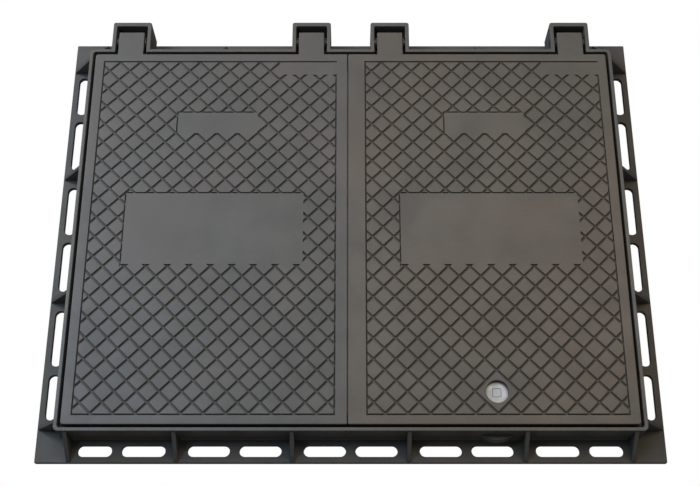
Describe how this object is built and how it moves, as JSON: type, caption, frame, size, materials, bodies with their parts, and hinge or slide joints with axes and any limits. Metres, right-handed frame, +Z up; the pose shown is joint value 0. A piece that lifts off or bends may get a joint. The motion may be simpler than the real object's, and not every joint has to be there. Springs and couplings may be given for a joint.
{
  "type": "access cover",
  "caption": "Rectangular two-leaf iron access cover with chequered leaves hinged in a slotted, ribbed frame and a quarter-turn lock.",
  "frame": {"origin": "centre of the base flange on its underside, which is the centre of the anchor slot pattern", "axes": "+X to the right along the wall of the hinges, +Y towards the hinges, +Z up out of the ground"},
  "size_m": [1, 0.7869, 0.06],
  "materials": {
    "frame_iron": "satin dark bituminous coat on cast iron",
    "leaf_iron": "satin dark bituminous coat on cast iron, slightly polished high spots",
    "seat_rubber": "matt moulded rubber",
    "zinc_steel": "zinc-plated turned steel",
    "spring_steel": "oiled spring steel",
    "nylon": "black moulded nylon",
    "bush_brass": "turned brass",
    "plug_plastic": "pale grey moulded polyethylene"
  },
  "bodies": {
    "frame": {"frame": "frame_iron", "front_seat_strip": "seat_rubber", "rear_seat_strip": "seat_rubber", "left_seat_strip": "seat_rubber", "right_seat_strip": "seat_rubber", "left_outer_hinge_pin": "zinc_steel", "left_inner_hinge_pin": "zinc_steel", "right_inner_hinge_pin": "zinc_steel", "right_outer_hinge_pin": "zinc_steel", "left_snap_rings": "spring_steel", "right_snap_rings": "spring_steel", "left_hinge_spacers": "nylon", "right_hinge_spacers": "nylon"},
    "left_leaf": {"left_leaf": "leaf_iron"},
    "right_leaf": {"right_leaf": "leaf_iron", "lock_bush": "bush_brass", "lock_bush_screws": "zinc_steel", "joint_seal": "seat_rubber"},
    "lock": {"lock_spindle": "zinc_steel", "socket_plug": "plug_plastic", "spindle_seal_ring": "seat_rubber", "lock_wave_washer": "spring_steel", "lock_tongue": "zinc_steel", "lock_plate_washer": "zinc_steel", "lock_nut": "zinc_steel", "lock_split_pin": "spring_steel"}
  },
  "joints": [
    {"name": "left_leaf_hinge", "type": "hinge", "parent": "frame", "child": "left_leaf", "pos_m": [-0.23075, 0.366, 0.045], "axis": [-1, 0, 0], "range_deg": [0, 110]},
    {"name": "right_leaf_hinge", "type": "hinge", "parent": "frame", "child": "right_leaf", "pos_m": [0.23075, 0.366, 0.045], "axis": [-1, 0, 0], "range_deg": [0, 110]},
    {"name": "lock_turn", "type": "hinge", "parent": "right_leaf", "child": "lock", "pos_m": [0.23075, -0.28284, 0.027], "axis": [0, 0, -1], "range_deg": [0, 90]}
  ]
}
